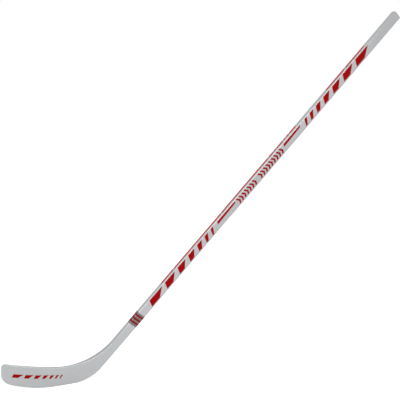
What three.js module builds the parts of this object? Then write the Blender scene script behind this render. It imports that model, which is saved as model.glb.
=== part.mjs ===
// Ice hockey stick, senior size: a laminated wooden shaft and blade, both covered
// with glass cloth and painted. Units are millimetres.
//
// The stick stands on its sole at its playing angle. +Z is up, the toe points to -X,
// the butt end of the shaft points to +X and up, and Y runs through the thickness.
// The convex backhand face looks to -Y, and the blade curves towards +Y.
// The origin is the middle of the flat spot of the sole.
import * as THREE from 'three';

// ---- Driving dimensions ---------------------------------------------------

const degrees = THREE.MathUtils.degToRad;

const GLUE_GAP = 0.3;
const FILM_GAP = 0.1;
const FILM_THICKNESS = 0.15;
const WRAP_WALL = 0.8;                // glass cloth and paint

// Facets and spacing of the rounded shapes.
const ARC_STEPS = 4;                  // in each rounded corner of a section
const SOLE_STEPS = 60;
const HEEL_STEPS = 24;
const NECK_STEPS = 32;
const TOE_RINGS = 6;
const RING_SPACING = 12;
const CORNER_TRIM = 0.05;             // radians cut from a rounded corner's sharp end

// Shaft. Distances along it start at its foot, where its axis would meet the ice.
const LIE_ANGLE = degrees(47);
const SHAFT_FOOT_X = 74.5;
const SHAFT_LENGTH = 1508;
const SHAFT_WIDTH = 29.5;
const SHAFT_THICKNESS = 19.5;
const SHAFT_CORNER = 4.5;
const BUTT_EDGE = 3;                  // radius around the butt end
const GLASS_STRIP_THICKNESS = 0.8;
const CORE_THICKNESS = 9.8;           // the core strips, and the slot for the tenon
const CORE_STRIPS = 4;
const CHEEK_END = 180;                // the slotted end of the shaft starts here
const SLOT_END = 235;
const WRAP_JOINT = 256;               // the blade sleeve meets the shaft wrap
const BAND_LENGTH = 44;
const FACE_PRINT = [315, 1370];
const EDGE_PRINT = [390, 1366];

// Blade outline. Distances along it start at the toe, on the middle line.
const TOE_X = -166;
const TOE_Z = 46;
const BLADE_SLOPE = degrees(-5);      // the middle line falls to the heel
const BLADE_BEND_RADIUS = 110;        // where it turns into the shaft's axis
const SOLE_FLAT = 20;                 // half of the flat spot
const ROCKER_RADIUS = 470;
const HEEL_START_X = 46;
const TOP_TOE_Z = 89.5;
const TOP_SLOPE = degrees(-8.7);
const NECK_RADIUS = 197;
const TOE_TOP_RADIUS = 16;
const TOE_SOLE_RADIUS = 24;

// Blade thickness and curve.
const TOE_THICKNESS = 5.6;
const HEEL_THICKNESS = 8.6;
const BLADE_CORNER = 2.6;
const TAPER_START = 190;              // the blade thickens to the shaft's section
const TAPER_END = 370;
const CURVE_START_X = 20;             // the blade leaves the shaft's plane
const CURVE_RADIUS = 540;
const CENTRE_PLY_SHARE = 0.36;        // of the thickness of the wood
const SCARF = 236;                    // the outer plies end, the cheeks begin
const BLADE_PRINT = [26, 190];
const BLADE_PRINT_HEIGHTS = [-8, 16]; // over the middle line

// ---- Flat geometry in the stick's plane: x to the heel, y up ----------------

const QUARTER_TURN = Math.PI / 2;

function heading(angle) {
  return new THREE.Vector2(Math.cos(angle), Math.sin(angle));
}

function moved(point, angle, distance) {
  return point.clone().addScaledVector(heading(angle), distance);
}

function crossing(lineA, lineB) {
  const between = lineB.point.clone().sub(lineA.point);
  const directionB = heading(lineB.angle);
  const distance = between.cross(directionB) / heading(lineA.angle).cross(directionB);
  return moved(lineA.point, lineA.angle, distance);
}

// A left-hand bend that leaves one line and joins another.
function bendBetween(lineIn, lineOut, radius) {
  const turn = lineOut.angle - lineIn.angle;
  const corner = crossing(lineIn, lineOut);
  const start = moved(corner, lineIn.angle, -radius * Math.tan(turn / 2));
  return { start, angle: lineIn.angle, turn, radius };
}

function pointOnBend(bend, share) {
  const centre = moved(bend.start, bend.angle + QUARTER_TURN, bend.radius);
  return moved(centre, bend.angle - QUARTER_TURN + bend.turn * share, bend.radius);
}

function bendPoints(bend, steps) {
  return Array.from({ length: steps + 1 }, (_, i) => pointOnBend(bend, i / steps));
}

const shaftFoot = new THREE.Vector2(SHAFT_FOOT_X, 0);
const shaftAxis = { point: shaftFoot, angle: LIE_ANGLE };
const lowerFace = {
  point: moved(shaftFoot, LIE_ANGLE - QUARTER_TURN, SHAFT_WIDTH / 2),
  angle: LIE_ANGLE,
};
const upperFace = {
  point: moved(shaftFoot, LIE_ANGLE + QUARTER_TURN, SHAFT_WIDTH / 2),
  angle: LIE_ANGLE,
};

function rockerHeight(x) {
  const beyondFlat = Math.max(Math.abs(x) - SOLE_FLAT, 0);
  return ROCKER_RADIUS - Math.sqrt(ROCKER_RADIUS ** 2 - beyondFlat ** 2);
}

// The sole: flat spot with a rocker on both sides, heel curve, lower face of the shaft.
function makeSoleEdge() {
  const startX = TOE_X - TOE_SOLE_RADIUS;
  const points = [];
  for (let i = 0; i < SOLE_STEPS; i += 1) {
    const x = THREE.MathUtils.lerp(startX, HEEL_START_X, i / SOLE_STEPS);
    points.push(new THREE.Vector2(x, rockerHeight(x)));
  }
  const heelStart = {
    point: new THREE.Vector2(HEEL_START_X, rockerHeight(HEEL_START_X)),
    angle: Math.asin((HEEL_START_X - SOLE_FLAT) / ROCKER_RADIUS),
  };
  const run = heelStart.point.distanceTo(crossing(heelStart, lowerFace));
  const radius = run / Math.tan((LIE_ANGLE - heelStart.angle) / 2);
  points.push(...bendPoints(bendBetween(heelStart, lowerFace, radius), HEEL_STEPS));
  points.push(moved(lowerFace.point, LIE_ANGLE, SHAFT_LENGTH));
  return points;
}

const soleEdge = makeSoleEdge();

// The top edge: the top of the blade, the neck curve and the upper face of the shaft.
const bladeTop = { point: new THREE.Vector2(TOE_X, TOP_TOE_Z), angle: TOP_SLOPE };
const neckBend = bendBetween(bladeTop, upperFace, NECK_RADIUS);
const neckEndOnShaft = pointOnBend(neckBend, 1).sub(shaftFoot).dot(heading(LIE_ANGLE));
const topEdge = [
  moved(bladeTop.point, TOP_SLOPE, -TOE_SOLE_RADIUS),
  ...bendPoints(neckBend, NECK_STEPS),
  moved(upperFace.point, LIE_ANGLE, SHAFT_LENGTH),
];

// The middle line runs straight along the blade, bends, and follows the shaft's axis.
const bladeLine = { point: new THREE.Vector2(TOE_X, TOE_Z), angle: BLADE_SLOPE };
const middleBend = bendBetween(bladeLine, shaftAxis, BLADE_BEND_RADIUS);
const bendStart = bladeLine.point.distanceTo(middleBend.start);
const bendEnd = bendStart + middleBend.radius * middleBend.turn;
const bendEndOnShaft = pointOnBend(middleBend, 1).distanceTo(shaftFoot);

function fromToe(distanceOnShaft) {
  return bendEnd + distanceOnShaft - bendEndOnShaft;
}

function middleLineAt(distance) {
  if (distance < bendStart) {
    return { point: moved(bladeLine.point, BLADE_SLOPE, distance), angle: BLADE_SLOPE };
  }
  if (distance < bendEnd) {
    const share = (distance - bendStart) / (bendEnd - bendStart);
    return { point: pointOnBend(middleBend, share), angle: BLADE_SLOPE + middleBend.turn * share };
  }
  const onShaft = distance - bendEnd + bendEndOnShaft;
  return { point: moved(shaftFoot, LIE_ANGLE, onShaft), angle: LIE_ANGLE };
}

// How far the edge lies from a point, measured along an angle.
function reach(edge, point, angle) {
  const direction = heading(angle);
  for (let i = 1; i < edge.length; i += 1) {
    const before = direction.cross(edge[i - 1].clone().sub(point));
    const after = direction.cross(edge[i].clone().sub(point));
    if (before * after <= 0) {
      const hit = edge[i - 1].clone().lerp(edge[i], before / (before - after));
      return hit.sub(point).dot(direction);
    }
  }
  throw new Error('The middle line leaves the outline.');
}

// ---- Blade sections ---------------------------------------------------------

function taperAt(distance) {
  return THREE.MathUtils.smoothstep(distance, TAPER_START, TAPER_END);
}

function thicknessAt(distance) {
  const blade = THREE.MathUtils.lerp(TOE_THICKNESS, HEEL_THICKNESS, distance / TAPER_START);
  return THREE.MathUtils.lerp(blade, SHAFT_THICKNESS, taperAt(distance));
}

function cornerAt(distance) {
  return THREE.MathUtils.lerp(BLADE_CORNER, SHAFT_CORNER, taperAt(distance));
}

// Sideways position of the blade's middle surface, and how much its slope stretches
// a thickness that is measured along Y.
function curveAt(x) {
  const sine = Math.max(CURVE_START_X - x, 0) / CURVE_RADIUS;
  const cosine = Math.sqrt(1 - sine * sine);
  return { offset: CURVE_RADIUS * (1 - cosine), stretch: 1 / cosine };
}

// How much an edge moves in for a given inset, near the toe's rounded corner.
function edgeInset(distance, radius, inset) {
  if (distance >= radius) return inset;
  return radius - Math.sqrt(Math.max((radius - inset) ** 2 - (radius - distance) ** 2, 0));
}

function heightRangeAt(distance, inset) {
  const { point, angle } = middleLineAt(distance);
  const across = angle + QUARTER_TURN;
  const low = reach(soleEdge, point, across) + edgeInset(distance, TOE_SOLE_RADIUS, inset);
  const high = reach(topEdge, point, across) - edgeInset(distance, TOE_TOP_RADIUS, inset);
  return [low, high];
}

// Places points [height, thickness] of a cross-section at a distance from the toe.
function placeOnBlade(distance, outline) {
  const { point, angle } = middleLineAt(distance);
  return outline.map(([height, side]) => {
    const place = moved(point, angle + QUARTER_TURN, height);
    const { offset, stretch } = curveAt(place.x);
    return new THREE.Vector3(place.x, offset + side * stretch, place.y);
  });
}

// An arc of [height, thickness] points about a centre, both ends included.
function arcPoints(centre, radius, startAngle, endAngle) {
  return Array.from({ length: ARC_STEPS + 1 }, (_, i) => {
    const angle = THREE.MathUtils.lerp(startAngle, endAngle, i / ARC_STEPS);
    return [centre[0] + radius * Math.cos(angle), centre[1] + radius * Math.sin(angle)];
  });
}

function roundedOutline([low, high], halfThickness, radius) {
  const inner = halfThickness - radius;
  return [
    ...arcPoints([high - radius, inner], radius, 0, QUARTER_TURN),
    ...arcPoints([low + radius, inner], radius, QUARTER_TURN, 2 * QUARTER_TURN),
    ...arcPoints([low + radius, -inner], radius, 2 * QUARTER_TURN, 3 * QUARTER_TURN),
    ...arcPoints([high - radius, -inner], radius, 3 * QUARTER_TURN, 4 * QUARTER_TURN),
  ];
}

function boxOutline([low, high], [inner, outer]) {
  return [[high, outer], [low, outer], [low, inner], [high, inner]];
}

// A layer with its two outer corners rounded. side is +1 for forehand, -1 for backhand.
function layerOutline([low, high], [inner, outer], radius, side) {
  const rounding = Math.min(radius, outer - inner);
  const depth = outer - rounding;
  const flat = 2 * QUARTER_TURN;
  const outline = [
    [high, inner],
    ...arcPoints([high - rounding, depth], rounding, CORNER_TRIM, QUARTER_TURN),
    ...arcPoints([low + rounding, depth], rounding, QUARTER_TURN, flat - CORNER_TRIM),
    [low, inner],
  ];
  return outline.map(([height, thickness]) => [height, thickness * side]);
}

// ---- Solids from rings of points ----------------------------------------------

function enclosedVolume(positions, index) {
  const corners = [0, 1, 2].map(() => new THREE.Vector3());
  let sum = 0;
  for (let i = 0; i < index.length; i += 3) {
    corners.forEach((corner, k) => corner.fromArray(positions, index[i + k] * 3));
    sum += corners[0].dot(corners[1].cross(corners[2])) / 6;
  }
  return sum;
}

function solidFrom(rings, index) {
  const positions = rings.flat().flatMap((point) => point.toArray());
  const facesOut = enclosedVolume(positions, index) > 0;
  const geometry = new THREE.BufferGeometry();
  geometry.setAttribute('position', new THREE.Float32BufferAttribute(positions, 3));
  geometry.setIndex(facesOut ? index : [...index].reverse());
  geometry.computeVertexNormals();
  return geometry;
}

function bridge(index, startA, startB, count) {
  for (let i = 0; i < count; i += 1) {
    const next = (i + 1) % count;
    index.push(startA + i, startB + i, startB + next);
    index.push(startA + i, startB + next, startA + next);
  }
}

function cap(index, start, count, flipped) {
  for (let i = 1; i < count - 1; i += 1) {
    const far = flipped ? i : i + 1;
    const near = flipped ? i + 1 : i;
    index.push(start, start + near, start + far);
  }
}

// A bar through convex rings, closed at both ends.
function bar(rings) {
  const count = rings[0].length;
  const index = [];
  for (let i = 1; i < rings.length; i += 1) bridge(index, (i - 1) * count, i * count, count);
  cap(index, 0, count, false);
  cap(index, (rings.length - 1) * count, count, true);
  return solidFrom(rings, index);
}

// A pocket with a wall: closed at the first rings, open at the last ones.
function pocket(outerRings, innerRings) {
  const count = outerRings[0].length;
  const rings = [...outerRings, ...innerRings];
  const index = [];
  const firstInner = outerRings.length;
  for (let i = 1; i < firstInner; i += 1) bridge(index, (i - 1) * count, i * count, count);
  for (let i = firstInner + 1; i < rings.length; i += 1) {
    bridge(index, i * count, (i - 1) * count, count);
  }
  bridge(index, (firstInner - 1) * count, (rings.length - 1) * count, count);
  cap(index, 0, count, false);
  cap(index, firstInner * count, count, true);
  return solidFrom(rings, index);
}

// A tube, open at both ends.
function tube(outerRings, innerRings) {
  const count = outerRings[0].length;
  const index = [];
  const loop = [...outerRings, ...[...innerRings].reverse()];
  loop.forEach((_, i) => bridge(index, i * count, ((i + 1) % loop.length) * count, count));
  return solidFrom(loop, index);
}

// ---- Materials ------------------------------------------------------------------

function material(color, roughness) {
  return new THREE.MeshStandardMaterial({ color, roughness, metalness: 0 });
}

const silverPaint = material('#b3b6b8', 0.42);
const redFilm = material('#a0060c', 0.4);
const darkFilm = material('#4a4646', 0.45);
const paleWood = material('#d9bf93', 0.7);
const hardWood = material('#c9a26b', 0.65);
const glassStrip = material('#cfd6c4', 0.35);

function named(name, geometry, finish) {
  const mesh = new THREE.Mesh(geometry, finish);
  mesh.name = name;
  return mesh;
}

// ---- Shaft: local +X runs up the axis, +Z is the upper narrow face --------------------

function ringOnShaft(distance, outline) {
  return outline.map(([height, side]) => new THREE.Vector3(distance, side, height));
}

function shaftOutline(inset) {
  const half = SHAFT_WIDTH / 2 - inset;
  return roundedOutline([-half, half], SHAFT_THICKNESS / 2 - inset, SHAFT_CORNER - inset);
}

// Rings of the wrap from the closed butt end to its mouth.
function wrapRings(inset) {
  const radius = BUTT_EDGE - inset;
  const rings = [];
  for (let i = 0; i <= ARC_STEPS; i += 1) {
    const angle = QUARTER_TURN * (1 - i / ARC_STEPS);
    const distance = SHAFT_LENGTH - BUTT_EDGE + radius * Math.sin(angle);
    rings.push(ringOnShaft(distance, shaftOutline(BUTT_EDGE - radius * Math.cos(angle))));
  }
  rings.push(ringOnShaft(WRAP_JOINT + GLUE_GAP / 2, shaftOutline(inset)));
  return rings;
}

function shaftBar(outline, start) {
  const end = SHAFT_LENGTH - BUTT_EDGE;
  return bar([ringOnShaft(start, outline), ringOnShaft(end, outline)]);
}

// Part of the rounded wood section between two depths, as a layer on one side.
function shaftLayer([inner, outer], side) {
  const woodInset = WRAP_WALL + GLUE_GAP;
  const radius = SHAFT_CORNER - woodInset;
  const half = SHAFT_WIDTH / 2 - woodInset;
  const centre = SHAFT_THICKNESS / 2 - woodInset - radius;
  const angleAt = (depth) => Math.asin(THREE.MathUtils.clamp((depth - centre) / radius, 0, 1));
  const startAngle = angleAt(inner);
  const endAngle = angleAt(outer);
  const outline = [
    ...arcPoints([half - radius, centre], radius, startAngle, endAngle),
    ...arcPoints([radius - half, centre], radius, Math.PI - endAngle, Math.PI - startAngle),
  ];
  return outline.map(([height, thickness]) => [height, thickness * side]);
}

function makeShaft() {
  const shaft = new THREE.Group();
  shaft.position.set(SHAFT_FOOT_X, 0, 0);
  shaft.rotation.y = -LIE_ANGLE;

  const woodInset = WRAP_WALL + GLUE_GAP;
  const surface = SHAFT_THICKNESS / 2 - woodInset;
  const glass = [surface - GLASS_STRIP_THICKNESS, surface];
  const veneer = [CORE_THICKNESS / 2 + GLUE_GAP, glass[0] - GLUE_GAP];
  for (const [hand, side] of [['backhand', -1], ['forehand', 1]]) {
    shaft.add(named(`${hand}_glass_strip`, shaftBar(shaftLayer(glass, side), CHEEK_END), glassStrip));
    shaft.add(named(`${hand}_veneer`, shaftBar(shaftLayer(veneer, side), CHEEK_END), hardWood));
  }

  const half = SHAFT_WIDTH / 2 - woodInset;
  const pitch = (2 * half + GLUE_GAP) / CORE_STRIPS;
  for (let i = 0; i < CORE_STRIPS; i += 1) {
    const low = -half + i * pitch;
    const range = [low, low + pitch - GLUE_GAP];
    const outline = boxOutline(range, [-CORE_THICKNESS / 2, CORE_THICKNESS / 2]);
    const strip = shaftBar(outline, SLOT_END + GLUE_GAP);
    shaft.add(named(`core_strip_${i + 1}`, strip, paleWood));
  }

  shaft.add(named('shaft_wrap', pocket(wrapRings(0), wrapRings(WRAP_WALL)), silverPaint));
  shaft.add(named('joint_band', makeBand(), darkFilm));
  addShaftPrints(shaft);
  return shaft;
}

function makeBand() {
  const ends = [WRAP_JOINT - BAND_LENGTH / 2, WRAP_JOINT + BAND_LENGTH / 2];
  const ringsAt = (inset) => ends.map((distance) => ringOnShaft(distance, shaftOutline(inset)));
  return tube(ringsAt(-FILM_GAP - FILM_THICKNESS), ringsAt(-FILM_GAP));
}

// Printed films on the flat part of each of the four faces.
function addShaftPrints(shaft) {
  const faceHalf = SHAFT_WIDTH / 2 - SHAFT_CORNER;
  const edgeHalf = SHAFT_THICKNESS / 2 - SHAFT_CORNER;
  const filmAt = (surface) => [surface + FILM_GAP, surface + FILM_GAP + FILM_THICKNESS];
  const face = filmAt(SHAFT_THICKNESS / 2);
  const edge = filmAt(SHAFT_WIDTH / 2);
  const prints = [
    ['backhand_shaft_print', FACE_PRINT, boxOutline([-faceHalf, faceHalf], [-face[1], -face[0]])],
    ['forehand_shaft_print', FACE_PRINT, boxOutline([-faceHalf, faceHalf], face)],
    ['upper_shaft_print', EDGE_PRINT, boxOutline(edge, [-edgeHalf, edgeHalf])],
    ['lower_shaft_print', EDGE_PRINT, boxOutline([-edge[1], -edge[0]], [-edgeHalf, edgeHalf])],
  ];
  for (const [name, range, outline] of prints) {
    const rings = range.map((distance) => ringOnShaft(distance, outline));
    shaft.add(named(name, bar(rings), redFilm));
  }
}

// ---- Blade ------------------------------------------------------------------------

// Distances from the toe for the blade's rings: close together in the toe's rounding,
// even along the blade and through the bend.
function stations(start, end) {
  const distances = [start];
  for (let i = 1; i <= TOE_RINGS; i += 1) {
    distances.push(TOE_SOLE_RADIUS * (1 - Math.cos(QUARTER_TURN * i / TOE_RINGS)));
  }
  const shapedEnd = Math.max(fromToe(neckEndOnShaft), TAPER_END);
  const firstStation = TOE_SOLE_RADIUS + RING_SPACING;
  for (let distance = firstStation; distance < shapedEnd; distance += RING_SPACING) {
    distances.push(distance);
  }
  distances.push(shapedEnd);
  const closeToEnd = RING_SPACING / 4;
  const inside = distances.filter((distance) => distance > start && distance < end - closeToEnd);
  return [start, ...inside, end];
}

function sleeveRings(inset) {
  return stations(inset, fromToe(WRAP_JOINT) - GLUE_GAP / 2).map((distance) => {
    const half = thicknessAt(distance) / 2 - inset;
    const outline = roundedOutline(heightRangeAt(distance, inset), half, cornerAt(distance) - inset);
    return placeOnBlade(distance, outline);
  });
}

// Half the thickness of the wood inside the sleeve, and of the centre ply in it. The
// centre ply grows from a thin ply in the blade to the tenon that fills the slot.
function woodHalfAt(distance) {
  return thicknessAt(distance) / 2 - WRAP_WALL - GLUE_GAP;
}

function centreHalfAt(distance) {
  return THREE.MathUtils.lerp(
    woodHalfAt(distance) * CENTRE_PLY_SHARE, CORE_THICKNESS / 2, taperAt(distance));
}

function makeCentrePly() {
  const inset = WRAP_WALL + GLUE_GAP;
  return bar(stations(inset, fromToe(SLOT_END)).map((distance) => {
    const half = centreHalfAt(distance);
    return placeOnBlade(distance, boxOutline(heightRangeAt(distance, inset), [-half, half]));
  }));
}

function makeOuterLayer(start, end, side) {
  const inset = WRAP_WALL + GLUE_GAP;
  return bar(stations(start, end).map((distance) => {
    const depths = [centreHalfAt(distance) + GLUE_GAP, woodHalfAt(distance)];
    const radius = Math.max(cornerAt(distance) - inset, 0);
    return placeOnBlade(
      distance, layerOutline(heightRangeAt(distance, inset), depths, radius, side));
  }));
}

function makeBladePrint(side) {
  const [start, end] = BLADE_PRINT;
  return bar(stations(start, end).map((distance) => {
    const surface = thicknessAt(distance) / 2 + FILM_GAP;
    const outline = boxOutline(BLADE_PRINT_HEIGHTS, [surface, surface + FILM_THICKNESS]);
    return placeOnBlade(distance, outline.map(([height, depth]) => [height, depth * side]));
  }));
}

function makeBlade() {
  const blade = new THREE.Group();
  const woodStart = WRAP_WALL + GLUE_GAP;
  blade.add(named('blade_sleeve', pocket(sleeveRings(0), sleeveRings(WRAP_WALL)), silverPaint));
  blade.add(named('blade_centre_ply', makeCentrePly(), hardWood));
  for (const [hand, side] of [['backhand', -1], ['forehand', 1]]) {
    const ply = makeOuterLayer(woodStart, SCARF, side);
    const cheek = makeOuterLayer(SCARF + GLUE_GAP, fromToe(CHEEK_END) - GLUE_GAP, side);
    blade.add(named(`${hand}_blade_ply`, ply, paleWood));
    blade.add(named(`${hand}_cheek`, cheek, hardWood));
    blade.add(named(`${hand}_blade_print`, makeBladePrint(side), redFilm));
  }
  return blade;
}

const stick = new THREE.Group();
stick.add(makeShaft(), makeBlade());

export default stick;
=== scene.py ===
"""Looks of a left-handed wooden ice hockey stick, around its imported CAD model.

The stick's lengths are in millimetres until a mesh is made. The floor's and the lights' sizes
and the camera's place are in metres. The frame is the CAD model's: the origin is the middle of
the sole's flat spot, +Z is up, the toe points to -X, the butt end to +X and up, and the convex
backhand face looks to -Y.
"""
import math

import bmesh
import bpy
from mathutils import Matrix, Vector


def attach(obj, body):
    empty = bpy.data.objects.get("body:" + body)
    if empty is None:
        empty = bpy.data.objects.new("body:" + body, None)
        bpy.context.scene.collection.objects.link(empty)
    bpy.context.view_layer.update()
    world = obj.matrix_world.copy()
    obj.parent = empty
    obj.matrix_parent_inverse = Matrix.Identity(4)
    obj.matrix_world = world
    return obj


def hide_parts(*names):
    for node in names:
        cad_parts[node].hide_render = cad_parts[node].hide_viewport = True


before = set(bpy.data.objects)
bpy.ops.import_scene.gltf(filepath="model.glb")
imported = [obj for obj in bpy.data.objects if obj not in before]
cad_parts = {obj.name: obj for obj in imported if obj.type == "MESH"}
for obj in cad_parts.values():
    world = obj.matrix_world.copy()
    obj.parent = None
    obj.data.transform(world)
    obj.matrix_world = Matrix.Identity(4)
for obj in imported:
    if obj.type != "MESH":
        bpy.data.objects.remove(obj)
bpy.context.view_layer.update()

MM = 0.001
QUARTER_TURN = math.pi / 2

# ---- Driving dimensions, the same as the CAD model's ------------------------------------

GLUE_GAP = 0.3
WRAP_WALL = 0.8

LIE_ANGLE = math.radians(47)
SHAFT_FOOT_X = 74.5
SHAFT_LENGTH = 1508
SHAFT_WIDTH = 29.5
SHAFT_THICKNESS = 19.5
SHAFT_CORNER = 4.5
BUTT_EDGE = 3
WRAP_JOINT = 256

TOE_X = -166
TOE_Z = 46
BLADE_SLOPE = math.radians(-5)
BLADE_BEND_RADIUS = 110
SOLE_FLAT = 20
ROCKER_RADIUS = 470
HEEL_START_X = 46
TOP_TOE_Z = 89.5
TOP_SLOPE = math.radians(-8.7)
NECK_RADIUS = 197
TOE_TOP_RADIUS = 16
TOE_SOLE_RADIUS = 24

TOE_THICKNESS = 5.6
HEEL_THICKNESS = 8.6
BLADE_CORNER = 2.6
TAPER_START = 190
TAPER_END = 370
CURVE_START_X = 20
CURVE_RADIUS = 540

# ---- Band and printed marks: distances along the shaft are from its foot -------------------

# Printed film: its underside and its face above the paint.
FILM_LOW = 0.05
FILM_HIGH = 0.2

# The band's [start, end] and its three red stripes.
BAND = (234.4, 277.6)
STRIPE_CENTRES = (244.6, 256.4, 268.6)
STRIPE_WIDTH = 6.4

# Printed bars on the wide faces, in two rows that shrink toward the middle. A bar leans along
# the stick by LEAN for each millimetre across it, and BAR_TAPER is the share of its length by
# which its lower side is shorter.
LEAN = 0.5
BAR_TAPER = 0.38
BAR_SIDES = (-9.4, 11.6)
BAR_LENGTHS = (60, 47, 37, 29, 22, 16, 11)
BAR_GAP = 13.5
LOWER_BARS_START = 322
UPPER_BARS_END = 1366

# Chevrons between the rows of bars, as [where a group starts, how many it has].
CHEVRON_GROUPS = ((745, 7), (848, 9))
CHEVRON_PITCH = 12.6
CHEVRON_STROKE = 6.4
CHEVRON_SLOPE = 0.55
CHEVRON_SIDES = (-9.4, 11.2)

# A line at each end of the chevrons, as [start, end]. Its lower side rises as it goes.
LINES = ((645, 729), (962, 1040))
LINE_TOP = 10.8
LINE_BOTTOMS = (2.4, 5)

# The narrow faces have lines, as [start, end], and dashes, as [start, length].
EDGE_LINES = ((392, 448), (453, 676), (681, 904), (1184, 1271), (1276, 1364))
EDGE_DASHES = ((909, 20), (933.5, 8), (946, 28), (978.5, 8), (991, 12), (1007.5, 28))
EDGE_HALF = 3.4

# The blade's bars are the shaft's at this scale. Their row starts this far from the toe and
# this high over the blade's middle line, and it falls as it goes.
BLADE_BAR_SCALE = 0.475
BLADE_BAR_SIDES = (-6.2, 5.8)
BLADE_MARKS_START = 33.5
BLADE_MARKS_HEIGHT = 5.9
BLADE_MARKS_FALL = 0.033

# ---- Fineness of the visible shapes ------------------------------------------------------

CORNER_STEPS = 9
BUTT_STEPS = 8
TOE_RINGS = 22
RING_SPACING = 5
SOLE_STEPS = 240
HEEL_STEPS = 60
NECK_STEPS = 90
FACE_SHARES = (0.03, 0.25, 0.5, 0.75, 0.97)
EDGE_SHARES = (0.1, 0.5, 0.9)
SHARP_ANGLE = math.radians(38)

# The blade cover's first ring is this far from the toe's tip, and its next one at least so far
# beyond it.
CLOSEST_RINGS = 0.02

# Points across the film: how far apart on a bar, and how many steps on the other marks.
FILM_SPACING = 1.6
CHEVRON_LOW_STEPS = 4
CHEVRON_HIGH_STEPS = 8
LINE_STEPS = 6

# ---- Looks -----------------------------------------------------------------------------------

# [dark, light] tones of each material.
PAINT_TONES = ((0.27, 0.278, 0.284), (0.281, 0.288, 0.293))
RED_TONES = ((0.165, 0.0002, 0.0008), (0.19, 0.0004, 0.0014))
EDGE_RED_TONES = ((0.3, 0.004, 0.008), (0.34, 0.006, 0.011))
BAND_RED_TONES = ((0.115, 0.0002, 0.0006), (0.135, 0.0004, 0.001))
BAND_GREY_TONES = ((0.11, 0.096, 0.096), (0.13, 0.114, 0.114))
PALE_WOOD_TONES = ((0.27, 0.18, 0.095), (0.42, 0.31, 0.185))
HARD_WOOD_TONES = ((0.17, 0.095, 0.042), (0.31, 0.195, 0.1))
GLASS_TONES = ((0.22, 0.25, 0.19), (0.34, 0.37, 0.3))
FLOOR_TONES = ((0.9, 0.9, 0.9), (0.92, 0.92, 0.92))

# Most values of a noise texture lie in this range.
NOISE_RANGE = (0.3, 0.7)

PAINT_ROUGHNESS = (0.28, 0.33)
WOOD_ROUGHNESS = (0.55, 0.75)
GLASS_ROUGHNESS = (0.25, 0.45)
COAT_ROUGHNESS = 0.16
FILM_ROUGHNESS_SPREAD = 0.04
WEAVE_SCALE = 190
SHAFT_WEAVE = 0.15
BLADE_WEAVE = 0.8
PALE_WOOD_GRAIN = 1.2
HARD_WOOD_GRAIN = 1.6

FLOOR_HALF = 30
FLOOR_DROP = 0.0002
FLOOR_GLOW = 0.12

CAMERA_LENS = 50
CAMERA_SENSOR = 36
CAMERA_REACH = 200
CAMERA_PLACE = (-0.0438, -1.5541, 1.0228)
CAMERA_PITCH = math.radians(-15.97)
CAMERA_TURN = math.radians(-17.88)


# ---- Flat geometry in the stick's plane: x to the heel, y up -----------------------------

def heading(angle):
    return Vector((math.cos(angle), math.sin(angle)))


def moved(point, angle, distance):
    return point + heading(angle) * distance


def cross(a, b):
    return a.x * b.y - a.y * b.x


def lerp(low, high, share):
    return low + (high - low) * share


def spread(low, high, count):
    return [lerp(low, high, i / count) for i in range(count + 1)]


def crossing(line_a, line_b):
    """Where two lines meet, each a (point, angle)."""
    (point_a, angle_a), (point_b, angle_b) = line_a, line_b
    run = cross(point_b - point_a, heading(angle_b)) / cross(heading(angle_a), heading(angle_b))
    return moved(point_a, angle_a, run)


class Bend:
    """A left-hand arc that leaves one line and joins another."""

    def __init__(self, line_in, line_out, radius):
        self.angle = line_in[1]
        self.turn = line_out[1] - line_in[1]
        self.radius = radius
        corner = crossing(line_in, line_out)
        self.start = moved(corner, self.angle, -radius * math.tan(self.turn / 2))

    def point(self, share):
        centre = moved(self.start, self.angle + QUARTER_TURN, self.radius)
        return moved(centre, self.angle - QUARTER_TURN + self.turn * share, self.radius)

    def points(self, steps):
        return [self.point(share) for share in spread(0, 1, steps)]


shaft_foot = Vector((SHAFT_FOOT_X, 0))
shaft_axis = (shaft_foot, LIE_ANGLE)
lower_face = (moved(shaft_foot, LIE_ANGLE - QUARTER_TURN, SHAFT_WIDTH / 2), LIE_ANGLE)
upper_face = (moved(shaft_foot, LIE_ANGLE + QUARTER_TURN, SHAFT_WIDTH / 2), LIE_ANGLE)


def rocker_height(x):
    """The sole's height: a flat spot with a large arc on each side of it."""
    beyond_flat = max(abs(x) - SOLE_FLAT, 0)
    return ROCKER_RADIUS - math.sqrt(ROCKER_RADIUS ** 2 - beyond_flat ** 2)


def make_sole_edge():
    """The lower outline: rocker, heel arc and the shaft's lower face."""
    start_x = TOE_X - TOE_SOLE_RADIUS
    xs = spread(start_x, HEEL_START_X, SOLE_STEPS)[:-1]
    points = [Vector((x, rocker_height(x))) for x in xs]
    heel_angle = math.asin((HEEL_START_X - SOLE_FLAT) / ROCKER_RADIUS)
    heel_line = (Vector((HEEL_START_X, rocker_height(HEEL_START_X))), heel_angle)
    run = (heel_line[0] - crossing(heel_line, lower_face)).length
    radius = run / math.tan((LIE_ANGLE - heel_angle) / 2)
    points += Bend(heel_line, lower_face, radius).points(HEEL_STEPS)
    return points + [moved(lower_face[0], LIE_ANGLE, SHAFT_LENGTH)]


def make_top_edge():
    """The upper outline: the blade's straight top, the neck arc and the shaft's upper face."""
    blade_top = (Vector((TOE_X, TOP_TOE_Z)), TOP_SLOPE)
    neck = Bend(blade_top, upper_face, NECK_RADIUS)
    start = moved(blade_top[0], TOP_SLOPE, -TOE_SOLE_RADIUS)
    return [start, *neck.points(NECK_STEPS), moved(upper_face[0], LIE_ANGLE, SHAFT_LENGTH)]


sole_edge = make_sole_edge()
top_edge = make_top_edge()

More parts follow.
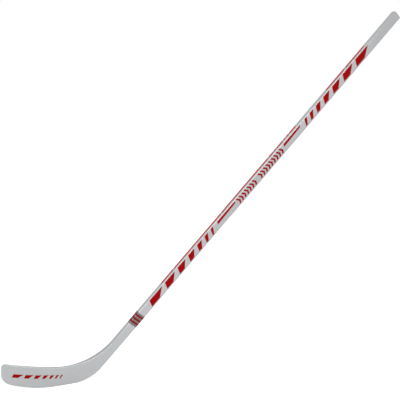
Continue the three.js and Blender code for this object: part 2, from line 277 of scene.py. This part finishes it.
# The middle line runs straight along the blade, bends, and follows the shaft's axis.
blade_toe = Vector((TOE_X, TOE_Z))
middle_bend = Bend((blade_toe, BLADE_SLOPE), shaft_axis, BLADE_BEND_RADIUS)
bend_start = (middle_bend.start - blade_toe).length
bend_end = bend_start + middle_bend.radius * middle_bend.turn
bend_end_on_shaft = (middle_bend.point(1) - shaft_foot).length


def from_toe(distance_on_shaft):
    """A distance along the shaft from its foot, as one along the middle line from the toe."""
    return bend_end + distance_on_shaft - bend_end_on_shaft


def middle_line_at(distance):
    """The (point, angle) of the middle line at a distance from the toe."""
    if distance < bend_start:
        return moved(blade_toe, BLADE_SLOPE, distance), BLADE_SLOPE
    if distance < bend_end:
        share = (distance - bend_start) / (bend_end - bend_start)
        return middle_bend.point(share), BLADE_SLOPE + middle_bend.turn * share
    on_shaft = distance - bend_end + bend_end_on_shaft
    return moved(shaft_foot, LIE_ANGLE, on_shaft), LIE_ANGLE


def reach(edge, point, angle):
    """How far the edge lies from a point, measured along an angle."""
    direction = heading(angle)
    for start, end in zip(edge, edge[1:]):
        before = cross(direction, start - point)
        after = cross(direction, end - point)
        if before * after <= 0 and before != after:
            hit = start.lerp(end, before / (before - after))
            return (hit - point).dot(direction)
    raise ValueError("The middle line leaves the outline.")


# ---- Sections ------------------------------------------------------------------------------

def taper_at(distance):
    """0 on the blade, 1 on the shaft, and a smooth rise between them."""
    share = (distance - TAPER_START) / (TAPER_END - TAPER_START)
    share = min(max(share, 0), 1)
    return share * share * (3 - 2 * share)


def thickness_at(distance):
    blade = lerp(TOE_THICKNESS, HEEL_THICKNESS, distance / TAPER_START)
    return lerp(blade, SHAFT_THICKNESS, taper_at(distance))


def place_on_blade(distance, height, side):
    """A point at a distance from the toe, a height over the middle line and a depth."""
    point, angle = middle_line_at(distance)
    place = moved(point, angle + QUARTER_TURN, height)
    sine = max(CURVE_START_X - place.x, 0) / CURVE_RADIUS
    cosine = math.sqrt(1 - sine * sine)
    return Vector((place.x, CURVE_RADIUS * (1 - cosine) + side / cosine, place.y))


def place_on_shaft(distance, height, side):
    """A point at a distance from the shaft's foot, a height over its axis and a depth."""
    place = moved(moved(shaft_foot, LIE_ANGLE, distance), LIE_ANGLE + QUARTER_TURN, height)
    return Vector((place.x, side, place.y))


def corner_profile(corner, inset, depth):
    """Points (distance in from the edge, rise toward the face) round a corner. They stop at
    a depth, where the toe's own rounded edge cuts the section."""
    radius = corner - inset
    full = math.acos(1 - min((depth - inset) / radius, 1))
    profile = []
    for i in range(CORNER_STEPS + 1):
        angle = full * i / CORNER_STEPS
        profile.append((inset + radius * (1 - math.cos(angle)), radius * math.sin(angle)))
    return profile


def between(start, end, shares):
    return [tuple(lerp(a, b, share) for a, b in zip(start, end)) for share in shares]


def section(low, high, edge_half, profile, low_inset, high_inset):
    """A closed loop of (height, side) with rounded corners and support points on its flats."""
    lows = [(low + low_inset(inset), edge_half + rise) for inset, rise in profile]
    highs = [(high - high_inset(inset), edge_half + rise) for inset, rise in profile]
    loop = []
    for points, mirror in ((highs + lows[::-1], 1), (lows + highs[::-1], -1)):
        half = [(height, mirror * side) for height, side in points]
        middle = len(half) // 2
        face = between(half[middle - 1], half[middle], FACE_SHARES)
        end = half[-1]
        edge = between(end, (end[0], -end[1]), EDGE_SHARES)
        loop += half[:middle] + face + half[middle:] + edge
    return loop


def toe_inset(distance, radius):
    """How far an edge moves in at a distance from the toe, for a given inset all round."""
    def inset_at(inset):
        if distance >= radius:
            return inset
        square = (radius - inset) ** 2 - (radius - distance) ** 2
        return radius - math.sqrt(max(square, 0))
    return inset_at


def sleeve_ring(distance, inset):
    """A ring of the blade's cover, its surface moved in by inset."""
    point, angle = middle_line_at(distance)
    low = reach(sole_edge, point, angle + QUARTER_TURN)
    high = reach(top_edge, point, angle + QUARTER_TURN)
    corner = lerp(BLADE_CORNER, SHAFT_CORNER, taper_at(distance))
    profile = corner_profile(corner, inset, distance)
    loop = section(low, high, thickness_at(distance) / 2 - corner, profile,
                   toe_inset(distance, TOE_SOLE_RADIUS), toe_inset(distance, TOE_TOP_RADIUS))
    return [place_on_blade(distance, height, side) for height, side in loop]


def sleeve_stations(start, end):
    """Distances of the blade cover's rings: close together round the toe, then even."""
    toe = [TOE_SOLE_RADIUS * (1 - math.cos(QUARTER_TURN * i / TOE_RINGS)) for i in range(TOE_RINGS)]
    count = math.ceil((end - TOE_SOLE_RADIUS) / RING_SPACING)
    along = spread(TOE_SOLE_RADIUS, end, count)
    first = start + CLOSEST_RINGS
    return [first] + [distance for distance in toe + along if distance > first + CLOSEST_RINGS]


def straight_inset(inset):
    """Along the shaft an edge moves in by the inset itself."""
    return inset


def shaft_ring(distance, inset):
    """A ring of the shaft, its surface moved in by inset."""
    half_width = SHAFT_WIDTH / 2
    edge_half = SHAFT_THICKNESS / 2 - SHAFT_CORNER
    profile = corner_profile(SHAFT_CORNER, inset, math.inf)
    loop = section(-half_width, half_width, edge_half, profile, straight_inset, straight_inset)
    return [place_on_shaft(distance, height, side) for height, side in loop]


# ---- Meshes ----------------------------------------------------------------------------------

class Builder:
    """Collects closed lofts into one mesh."""

    def __init__(self):
        self.vertices = []
        self.faces = []

    def loft(self, rings, ends="flat"):
        """Joins rings of points into a closed shape. Its two ends get "flat" caps, or are
        "joined" to each other, or get the caps of a "strip": rows of quads, for rings that
        go out along an underside and back along a face."""
        first = len(self.vertices)
        count = len(rings[0])
        starts = [first + i * count for i in range(len(rings))]
        for ring in rings:
            self.vertices += [point * MM for point in ring]
        pairs = list(zip(starts, starts[1:]))
        if ends == "joined":
            pairs.append((starts[-1], starts[0]))
        elif ends == "strip":
            for i in range(count // 2 - 1):
                quad = [i, i + 1, count - 2 - i, count - 1 - i]
                self.faces.append([starts[0] + corner for corner in quad][::-1])
                self.faces.append([starts[-1] + corner for corner in quad])
        else:
            self.faces.append([starts[0] + i for i in range(count)][::-1])
            self.faces.append([starts[-1] + i for i in range(count)])
        for a, b in pairs:
            for i in range(count):
                j = (i + 1) % count
                self.faces.append([a + i, a + j, b + j, b + i])

    def build(self, name, material, slot, node):
        """Makes the piece that stands in for a node of the CAD model."""
        mesh = bpy.data.meshes.new(name)
        mesh.from_pydata(self.vertices, [], self.faces)
        mesh.validate()
        mesh.shade_smooth()
        mesh.set_sharp_from_angle(angle=SHARP_ANGLE)
        mesh.materials.append(material)
        piece = bpy.data.objects.new(name, mesh)
        bpy.context.scene.collection.objects.link(piece)
        fix_normals(piece)
        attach(piece, "root")
        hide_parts(node)


def fix_normals(piece):
    """Turns every face of a piece outward."""
    work = bmesh.new()
    work.from_mesh(piece.data)
    bmesh.ops.recalc_face_normals(work, faces=work.faces)
    work.to_mesh(piece.data)
    work.free()


# ---- Materials -----------------------------------------------------------------------------

class Nodes:
    """A material's node tree, with short calls for the nodes used here."""

    def __init__(self, name):
        self.material = bpy.data.materials.new(name)
        self.material.use_nodes = True
        self.tree = self.material.node_tree
        self.shader = self.tree.nodes["Principled BSDF"]

    def node(self, kind, inputs, **settings):
        """Adds a node. Its inputs are constants or other nodes' outputs."""
        node = self.tree.nodes.new("ShaderNode" + kind)
        for key, value in settings.items():
            setattr(node, key, value)
        for key, value in inputs.items():
            if isinstance(value, bpy.types.NodeSocket):
                self.tree.links.new(value, node.inputs[key])
            else:
                node.inputs[key].default_value = value
        return node

    def along(self, angle, scale=(1, 1, 1)):
        """Object coordinates turned so that X runs along the grain."""
        place = self.node("TexCoord", {}).outputs["Object"]
        turned = self.node("Mapping", {"Vector": place, "Rotation": (0, angle, 0)})
        return self.node("Mapping", {"Vector": turned.outputs[0], "Scale": scale}).outputs[0]

    def noise(self, vector, scale, detail=3, roughness=0.5):
        inputs = {"Vector": vector, "Scale": scale, "Detail": detail, "Roughness": roughness}
        return self.node("TexNoise", inputs).outputs["Fac"]

    def mix(self, factor, tones, span=(0, 1)):
        """A colour that goes from the dark tone to the light one as factor crosses a span."""
        ramp = self.node("ValToRGB", {"Fac": factor})
        for element, position, tone in zip(ramp.color_ramp.elements, span, tones):
            element.position = position
            element.color = (*tone, 1)
        return ramp.outputs["Color"]

    def remap(self, value, source, target):
        """Moves a value from one (low, high) range to another."""
        inputs = {"Value": value, "From Min": source[0], "From Max": source[1],
                  "To Min": target[0], "To Max": target[1]}
        return self.node("MapRange", inputs).outputs[0]

    def math(self, operation, a, b):
        return self.node("Math", {0: a, 1: b}, operation=operation).outputs[0]

    def feed(self, socket, output):
        """Links a node's output to one of the shader's sockets."""
        self.tree.links.new(output, self.shader.inputs[socket])

    def bump(self, height, distance):
        inputs = {"Height": height, "Distance": distance}
        self.feed("Normal", self.node("Bump", inputs).outputs[0])

    def set(self, **values):
        """Sets constants on the shader's sockets, their spaces written as underscores."""
        for key, value in values.items():
            self.shader.inputs[key.replace("_", " ")].default_value = value


def silver_paint(name, angle, weave):
    """Satin silver-grey paint. The glass cloth below shows through as a faint weave."""
    nodes = Nodes(name)
    flat = nodes.along(angle)
    cloud = nodes.noise(flat, scale=14, detail=4)
    nodes.feed("Base Color", nodes.mix(cloud, PAINT_TONES, span=(0.35, 0.65)))
    uneven = nodes.math("ADD", cloud, nodes.noise(flat, scale=900, detail=2))
    nodes.feed("Roughness", nodes.remap(uneven, (0.6, 1.4), PAINT_ROUGHNESS))
    threads = {"Vector": flat, "Scale": WEAVE_SCALE, "Distortion": 0.6}
    warp = nodes.node("TexWave", threads, bands_direction="X").outputs["Fac"]
    weft = nodes.node("TexWave", threads, bands_direction="Z").outputs["Fac"]
    cloth = nodes.math("MULTIPLY", nodes.math("ADD", warp, weft), weave)
    height = nodes.math("ADD", cloth, nodes.noise(flat, scale=260, detail=2))
    nodes.bump(height, distance=0.00004)
    nodes.set(Metallic=0.45, Coat_Weight=0.3, Coat_Roughness=COAT_ROUGHNESS)
    return nodes.material


def printed_film(name, tones, roughness, specular, coat=0, metallic=0):
    """Printed film with a slightly cloudy colour."""
    nodes = Nodes(name)
    flat = nodes.along(LIE_ANGLE)
    cloud = nodes.noise(flat, scale=60, detail=4)
    nodes.feed("Base Color", nodes.mix(cloud, tones))
    roughnesses = (roughness - FILM_ROUGHNESS_SPREAD, roughness + FILM_ROUGHNESS_SPREAD)
    nodes.feed("Roughness", nodes.remap(cloud, NOISE_RANGE, roughnesses))
    nodes.bump(nodes.noise(flat, scale=500, detail=2), distance=0.00002)
    nodes.set(Metallic=metallic, Specular_IOR_Level=specular)
    nodes.set(Coat_Weight=coat, Coat_Roughness=COAT_ROUGHNESS)
    return nodes.material


def wood(name, angle, tones, grain):
    """Sanded wood with its grain along the piece."""
    nodes = Nodes(name)
    fibre = nodes.noise(nodes.along(angle, (6, 60, 60)), scale=grain, detail=8, roughness=0.62)
    growth = {"Vector": nodes.along(angle, (0.6, 9, 9)), "Scale": 9,
              "Distortion": 5, "Detail": 3, "Detail Scale": 1.4}
    rings = nodes.node("TexWave", growth, bands_direction="Z").outputs["Fac"]
    both = nodes.math("ADD", nodes.math("MULTIPLY", rings, 0.45),
                      nodes.math("MULTIPLY", fibre, 0.75))
    nodes.feed("Base Color", nodes.mix(both, tones, span=(0.25, 0.85)))
    nodes.feed("Roughness", nodes.remap(fibre, NOISE_RANGE, WOOD_ROUGHNESS))
    nodes.bump(fibre, distance=0.0001)
    return nodes.material


def glass_fibre(name):
    """Straight glass rovings in clear resin."""
    nodes = Nodes(name)
    strands = nodes.noise(nodes.along(LIE_ANGLE, (4, 500, 500)), scale=3, detail=5)
    nodes.feed("Base Color", nodes.mix(strands, GLASS_TONES))
    nodes.feed("Roughness", nodes.remap(strands, NOISE_RANGE, GLASS_ROUGHNESS))
    nodes.bump(strands, distance=0.00005)
    return nodes.material


shaft_paint = silver_paint("silver_paint_shaft", LIE_ANGLE, SHAFT_WEAVE)
blade_paint = silver_paint("silver_paint_blade", BLADE_SLOPE, BLADE_WEAVE)
red_film = printed_film("red_film", RED_TONES, roughness=0.5, specular=0.03)
edge_red = printed_film("edge_red", EDGE_RED_TONES, roughness=0.5, specular=0.1)
band_red = printed_film("band_red", BAND_RED_TONES, roughness=0.4, specular=0.05, coat=0.1)
band_grey = printed_film("band_grey", BAND_GREY_TONES, roughness=0.28, specular=0.5, coat=0.4,
                         metallic=1)
pale_shaft_wood = wood("pale_shaft_wood", LIE_ANGLE, PALE_WOOD_TONES, PALE_WOOD_GRAIN)
pale_blade_wood = wood("pale_blade_wood", BLADE_SLOPE, PALE_WOOD_TONES, PALE_WOOD_GRAIN)
hard_shaft_wood = wood("hard_shaft_wood", LIE_ANGLE, HARD_WOOD_TONES, HARD_WOOD_GRAIN)
hard_blade_wood = wood("hard_blade_wood", BLADE_SLOPE, HARD_WOOD_TONES, HARD_WOOD_GRAIN)
glass_strip = glass_fibre("glass_strip")

# The wood and glass inside keep the CAD model's shapes. Each word is part of a node's name.
NODE_MATERIALS = {
    "core_strip": pale_shaft_wood,
    "blade_ply": pale_blade_wood,
    "veneer": hard_shaft_wood,
    "cheek": hard_shaft_wood,
    "centre_ply": hard_blade_wood,
    "glass_strip": glass_strip,
}
for node_name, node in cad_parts.items():
    for word, material in NODE_MATERIALS.items():
        if word in node_name:
            node.material_slots[0].material = material

# ---- Covers ------------------------------------------------------------------------------------


def make_shaft_skin():
    """The shaft's cover, rounded over at the butt end and open at the joint."""
    def rings(inset):
        made = []
        radius = BUTT_EDGE - inset
        for i in range(BUTT_STEPS + 1):
            angle = QUARTER_TURN * (1 - i / BUTT_STEPS)
            distance = SHAFT_LENGTH - BUTT_EDGE + radius * math.sin(angle)
            made.append(shaft_ring(distance, BUTT_EDGE - radius * math.cos(angle)))
        made.append(shaft_ring(WRAP_JOINT + GLUE_GAP / 2, inset))
        return made
    builder = Builder()
    builder.loft(rings(0) + rings(WRAP_WALL)[::-1])
    builder.build("shaft_skin", shaft_paint, "silver_paint", "shaft_wrap")


def make_blade_skin():
    """The blade's cover, closed round the toe and open at the joint."""
    def rings(inset):
        stations = sleeve_stations(inset, from_toe(WRAP_JOINT) - GLUE_GAP / 2)
        return [sleeve_ring(distance, inset) for distance in stations]
    builder = Builder()
    builder.loft(rings(0) + rings(WRAP_WALL)[::-1])
    builder.build("blade_skin", blade_paint, "silver_paint", "blade_sleeve")


make_shaft_skin()
make_blade_skin()

# ---- Band and printed marks ------------------------------------------------------------------


def add_band_ring(builder, start, end):
    """A closed ring of film all round the shaft."""
    low = [shaft_ring(distance, -FILM_LOW) for distance in (end, start)]
    high = [shaft_ring(distance, -FILM_HIGH) for distance in (start, end)]
    builder.loft(high + low, ends="joined")


def make_band():
    grey, red = Builder(), Builder()
    start = BAND[0]
    for centre in STRIPE_CENTRES:
        add_band_ring(grey, start, centre - STRIPE_WIDTH / 2)
        add_band_ring(red, centre - STRIPE_WIDTH / 2, centre + STRIPE_WIDTH / 2)
        start = centre + STRIPE_WIDTH / 2
    add_band_ring(grey, start, BAND[1])
    grey.build("band_grey_rings", band_grey, "dark_film", "joint_band")
    red.build("band_red_rings", band_red, "red_print", "joint_band")


# Each face places film by its distance along the stick, across the face, and depth.

def wide_face(side):
    """Film follows the flat and then the rounded corner beside it."""
    flat_half = SHAFT_WIDTH / 2 - SHAFT_CORNER

    def place(along, across, depth):
        radius = SHAFT_CORNER + depth
        turn = max(abs(across) - flat_half, 0) / SHAFT_CORNER
        drop = radius * (1 - math.cos(turn))
        height = min(abs(across), flat_half) + radius * math.sin(turn)
        half = SHAFT_THICKNESS / 2 + depth
        return place_on_shaft(along, math.copysign(height, across), side * (half - drop))
    return place


def narrow_face(side):
    def place(along, across, depth):
        return place_on_shaft(along, side * (SHAFT_WIDTH / 2 + depth), across)
    return place


def blade_face(side):
    def place(along, across, depth):
        height = BLADE_MARKS_HEIGHT + across - BLADE_MARKS_FALL * (along - BLADE_MARKS_START)
        return place_on_blade(along, height, side * (thickness_at(along) / 2 + depth))
    return place


def add_strip(builder, place, start, end, edges_at, lean_at, steps=1):
    """A closed strip of film. At a share of its length, edges_at gives its points across
    and lean_at how far each of them is moved along."""
    rings = []
    for share in spread(0, 1, steps):
        along = lerp(start, end, share)
        path = [(along + lean_at(share, across), across) for across in edges_at(share)]
        low = [place(*point, FILM_LOW) for point in path]
        high = [place(*point, FILM_HIGH) for point in path[::-1]]
        rings.append(low + high)
    builder.loft(rings, ends="strip")


def add_bar(builder, place, start, end, sides, taper=0, steps=1):
    """A slanted bar between two sides, its lower side shortened at its far end."""
    low, high = sides
    points = spread(low, high, math.ceil((high - low) / FILM_SPACING))
    shortened = taper * (end - start) / (high - low)

    def lean_at(share, across):
        return LEAN * across - shortened * share * (high - across)
    add_strip(builder, place, start, end, lambda share: points, lean_at, steps)


def bar_spans(start, direction=1, scale=1):
    """[start, end] of each bar in a shrinking row that sets off from a point."""
    spans = []
    for length in BAR_LENGTHS:
        end = start + direction * scale * length
        spans.append(sorted((start, end)))
        start = end + direction * scale * BAR_GAP
    return spans


def make_wide_marks(hand, side):
    place = wide_face(side)
    builder = Builder()
    for start, end in bar_spans(LOWER_BARS_START) + bar_spans(UPPER_BARS_END, -1):
        add_bar(builder, place, start, end, BAR_SIDES, BAR_TAPER)
    low, high = CHEVRON_SIDES
    chevron = spread(low, 0, CHEVRON_LOW_STEPS) + spread(0, high, CHEVRON_HIGH_STEPS)[1:]
    for first, count in CHEVRON_GROUPS:
        for i in range(count):
            start = first + i * CHEVRON_PITCH
            add_strip(builder, place, start, start + CHEVRON_STROKE, lambda share: chevron,
                      lambda share, across: -CHEVRON_SLOPE * abs(across))
    for start, end in LINES:
        add_strip(builder, place, start, end,
                  lambda share: spread(lerp(*LINE_BOTTOMS, share), LINE_TOP, LINE_STEPS),
                  lambda share, across: LEAN * across)
    builder.build(f"{hand}_shaft_marks", red_film, "red_print", f"{hand}_shaft_print")


def make_narrow_marks(name, side):
    place = narrow_face(side)
    builder = Builder()
    spans = [*EDGE_LINES, *((start, start + length) for start, length in EDGE_DASHES)]
    for start, end in spans:
        add_bar(builder, place, start, end, (-EDGE_HALF, EDGE_HALF))
    builder.build(f"{name}_shaft_marks", edge_red, "red_print", f"{name}_shaft_print")


def make_blade_marks(hand, side):
    place = blade_face(side)
    builder = Builder()
    for start, end in bar_spans(BLADE_MARKS_START, 1, BLADE_BAR_SCALE):
        steps = math.ceil((end - start) / RING_SPACING)
        add_bar(builder, place, start, end, BLADE_BAR_SIDES, BAR_TAPER, steps)
    builder.build(f"{hand}_blade_marks", red_film, "red_print", f"{hand}_blade_print")


make_band()
for hand, side in (("backhand", -1), ("forehand", 1)):
    make_wide_marks(hand, side)
    make_blade_marks(hand, side)
make_narrow_marks("upper", 1)
make_narrow_marks("lower", -1)

# ---- Floor, lights and camera --------------------------------------------------------------------


def make_floor():
    """A plain pale floor just under the sole."""
    mesh = bpy.data.meshes.new("floor")
    corners = ((-1, -1), (1, -1), (1, 1), (-1, 1))
    mesh.from_pydata([(x * FLOOR_HALF, y * FLOOR_HALF, -FLOOR_DROP) for x, y in corners],
                     [], [[0, 1, 2, 3]])
    nodes = Nodes("floor_white")
    cloud = nodes.noise(nodes.along(0), scale=0.8)
    nodes.feed("Base Color", nodes.mix(cloud, FLOOR_TONES))
    nodes.set(Roughness=0.9, Specular_IOR_Level=0, Emission_Strength=FLOOR_GLOW)
    nodes.set(Emission_Color=(1, 1, 1, 1))
    mesh.materials.append(nodes.material)
    floor = bpy.data.objects.new("floor", mesh)
    bpy.context.scene.collection.objects.link(floor)


def make_strip_light(name, along, lean, distance, width, length, power):
    """A soft box parallel to the shaft, level with a point so many millimetres along it. With
    no lean it faces the backhand side, and a lean turns it toward the upper narrow face."""
    up_shaft = Vector((math.cos(LIE_ANGLE), 0, math.sin(LIE_ANGLE)))
    upper = Vector((-math.sin(LIE_ANGLE), 0, math.cos(LIE_ANGLE)))
    direction = Vector((0, -math.cos(lean), 0)) + upper * math.sin(lean)
    data = bpy.data.lights.new(name, "AREA")
    data.shape = "RECTANGLE"
    data.size = width
    data.size_y = length
    data.energy = power
    light = bpy.data.objects.new(name, data)
    target = place_on_shaft(along, 0, 0) * MM
    axes = Matrix((up_shaft.cross(direction), up_shaft, direction)).transposed()
    light.matrix_world = Matrix.Translation(target + direction * distance) @ axes.to_4x4()
    light.visible_camera = False
    bpy.context.scene.collection.objects.link(light)


def make_camera():
    data = bpy.data.cameras.new("camera")
    data.lens = CAMERA_LENS
    data.sensor_width = CAMERA_SENSOR
    data.clip_end = CAMERA_REACH
    camera = bpy.data.objects.new("camera", data)
    camera.location = CAMERA_PLACE
    camera.rotation_euler = (QUARTER_TURN + CAMERA_PITCH, 0, CAMERA_TURN)
    bpy.context.scene.collection.objects.link(camera)
    bpy.context.scene.camera = camera


def make_world():
    world = bpy.data.worlds.new("studio")
    world.use_nodes = True
    background = world.node_tree.nodes["Background"]
    background.inputs["Color"].default_value = (1, 1, 1, 1)
    background.inputs["Strength"].default_value = 1
    bpy.context.scene.world = world
    bpy.context.scene.view_settings.view_transform = "Standard"


make_floor()
make_strip_light("ridge", along=890, lean=math.radians(57), distance=1.2,
                 width=0.13, length=2.15, power=14)
make_strip_light("front", along=700, lean=math.radians(4), distance=1.5,
                 width=0.9, length=1.9, power=10)
make_strip_light("upper_front", along=1750, lean=math.radians(-8), distance=1.5,
                 width=0.8, length=0.8, power=4)
make_strip_light("fill", along=750, lean=math.radians(195), distance=1.6,
                 width=0.9, length=1.5, power=6)
make_camera()
make_world()
